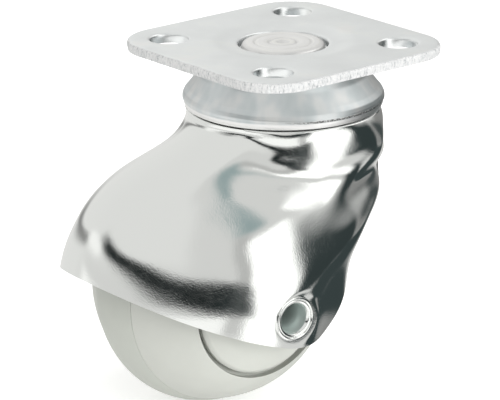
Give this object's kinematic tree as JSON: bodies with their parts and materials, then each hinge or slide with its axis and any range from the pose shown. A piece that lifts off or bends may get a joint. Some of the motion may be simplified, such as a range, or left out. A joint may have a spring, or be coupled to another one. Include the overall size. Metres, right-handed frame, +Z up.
{
  "type": "hooded chair castor",
  "caption": "Swivel castor with a square screw-on top plate, a ball race and a deep-drawn chromed hood over a barrel-shaped wheel on a hollow rivet.",
  "frame": {"origin": "centre of the plate's top face, on the swivel axis", "axes": "+Z up out of the plate, X and Y along the plate's sides; the wheel trails towards -X"},
  "size_m": [0.0627, 0.0474, 0.0597],
  "materials": {
    "zinc_plate": "bright zinc, satin",
    "steel": "smooth",
    "chrome": "polished",
    "wheel_plastic": "satin",
    "band_rubber": "satin"
  },
  "bodies": {
    "base": {"top_plate": "zinc_plate", "race_ring": "zinc_plate", "kingpin": "zinc_plate", "kingpin_sleeve": "steel", "lower_race": "zinc_plate", "upper_balls": "steel", "lower_balls": "steel"},
    "fork": {"hood": "chrome", "axle_rivet": "chrome", "axle_sleeve": "steel"},
    "wheel": {"wheel_core": "wheel_plastic", "tyre": "band_rubber", "hub_cap_left": "wheel_plastic", "hub_cap_right": "wheel_plastic"}
  },
  "joints": [
    {"name": "swivel", "type": "hinge", "parent": "base", "child": "fork", "pos_m": [0, 0, 0], "axis": [0, 0, 1], "continuous": true},
    {"name": "wheel_spin", "type": "hinge", "parent": "fork", "child": "wheel", "pos_m": [-0.01464, 0.0013, -0.0387], "axis": [0.0882, 0.9961, 0], "continuous": true}
  ]
}
